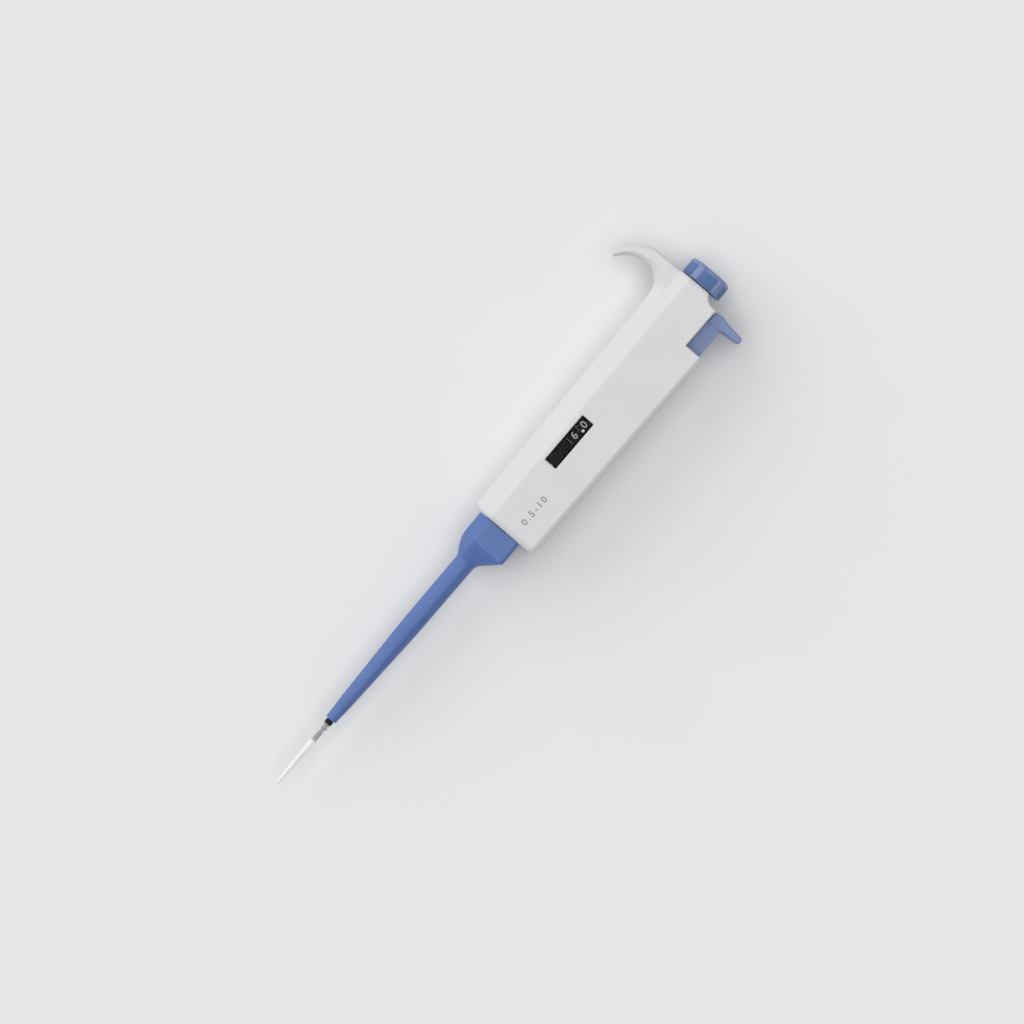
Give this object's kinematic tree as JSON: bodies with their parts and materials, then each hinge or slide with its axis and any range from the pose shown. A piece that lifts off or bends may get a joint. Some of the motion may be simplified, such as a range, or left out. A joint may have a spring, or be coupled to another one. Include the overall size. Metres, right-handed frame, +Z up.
{
  "type": "adjustable micropipette",
  "caption": "Slim hand-held adjustable pipette with finger hook, lobed push button, volume counter window, side tip ejector and a slender shaft that ends in a clear disposable tip.",
  "frame": {"origin": "on the surface that the pipette lies on, under the middle of its outline seen from above", "axes": "+X along the piston axis from the tip's end to the push button, +Y to the finger hook's side, +Z up out of the display"},
  "size_m": [0.2682, 0.062, 0.026],
  "materials": {
    "white_shell": "satin moulded, off-white",
    "inner_white": "natural moulded",
    "button_blue": "satin moulded, light blue",
    "sleeve_blue": "satin moulded, mid blue",
    "counter_black": "fine matt",
    "window_clear": "clear moulded acrylic",
    "tip_clear": "clear polypropylene",
    "nozzle_grey": "smooth moulded, grey",
    "nut_black": "moulded",
    "steel": "turned",
    "spring_steel": "drawn wire",
    "brass": "turned",
    "ptfe": "waxy",
    "rubber": "moulded"
  },
  "bodies": {
    "handle": {"handle_front_shell": "white_shell", "handle_back_shell": "white_shell", "shell_screw_1": "steel", "shell_screw_2": "steel", "shell_screw_3": "steel", "shell_screw_4": "steel", "window_lens": "window_clear", "guide_bush": "inner_white", "setting_nut": "brass", "counter_frame": "counter_black", "blank_drum": "counter_black", "pinion_shaft": "steel", "spring_seat": "steel", "barrel": "inner_white", "coupling_nut": "nut_black", "nozzle_cone": "nozzle_grey", "cone_base_ring": "nut_black", "seal_o_ring": "rubber", "piston_seal": "ptfe", "seal_retainer": "inner_white", "main_spring": "spring_steel", "blowout_spring": "spring_steel", "piston_spring": "spring_steel", "ejector_spring": "spring_steel"},
    "dial": {"tenths_drum": "counter_black"},
    "screw": {"volume_screw": "steel"},
    "plunger": {"push_button": "button_blue", "operating_rod": "steel", "rod_stop_collar": "steel", "piston_head": "inner_white", "piston": "steel"},
    "units": {"units_drum": "counter_black"},
    "pinion": {"transfer_pinion": "inner_white"},
    "blowout": {"blowout_ring": "inner_white"},
    "ejector": {"ejector_button": "button_blue", "ejector_bar": "steel", "ejector_sleeve": "sleeve_blue"},
    "tip": {"pipette_tip": "tip_clear"}
  },
  "joints": [
    {"name": "dial_turn", "type": "hinge", "parent": "handle", "child": "dial", "pos_m": [0.0541, -0.0043, 0.013], "axis": [1, 0, 0], "range_deg": [-1980, 1440]},
    {"name": "setting_lift", "type": "slide", "parent": "dial", "child": "screw", "axis": [1, 0, 0], "range_m": [-0.00175, 0.00127], "deforming": ["main_spring", "piston_spring"]},
    {"name": "button_press", "type": "slide", "parent": "screw", "child": "plunger", "axis": [-1, 0, 0], "range_m": [0, 0.0052], "stiffness_N_per_m": 500, "springref_m": -0.005, "deforming": ["main_spring", "piston_spring"]},
    {"name": "units_turn", "type": "hinge", "parent": "handle", "child": "units", "pos_m": [0.0484, -0.0043, 0.013], "axis": [1, 0, 0], "range_deg": [-180.05, 130.95]},
    {"name": "pinion_turn", "type": "hinge", "parent": "handle", "child": "pinion", "pos_m": [0.0499, -0.0163, 0.0064], "axis": [1, 0, 0], "range_deg": [-392.9, 540.1]},
    {"name": "blowout_slide", "type": "slide", "parent": "handle", "child": "blowout", "axis": [-1, 0, 0], "range_m": [0, 0.00505], "deforming": ["blowout_spring"]},
    {"name": "ejector_press", "type": "slide", "parent": "handle", "child": "ejector", "axis": [-1, 0, 0], "range_m": [0, 0.009], "stiffness_N_per_m": 300, "springref_m": -0.012, "deforming": ["ejector_spring"]},
    {"name": "tip_release", "type": "slide", "parent": "handle", "child": "tip", "axis": [-1, 0, 0], "range_m": [0, 0.009]}
  ],
  "couplings": [
    {"joint": "dial_turn", "follows": "setting_lift", "rad_per_m": 19739},
    {"joint": "units_turn", "follows": "setting_lift", "rad_per_m": 1794.5},
    {"joint": "pinion_turn", "follows": "setting_lift", "rad_per_m": -5383.4},
    {"joint": "blowout_slide", "follows": "button_press", "ratio": 0.97},
    {"joint": "tip_release", "follows": "ejector_press", "ratio": 1}
  ]
}
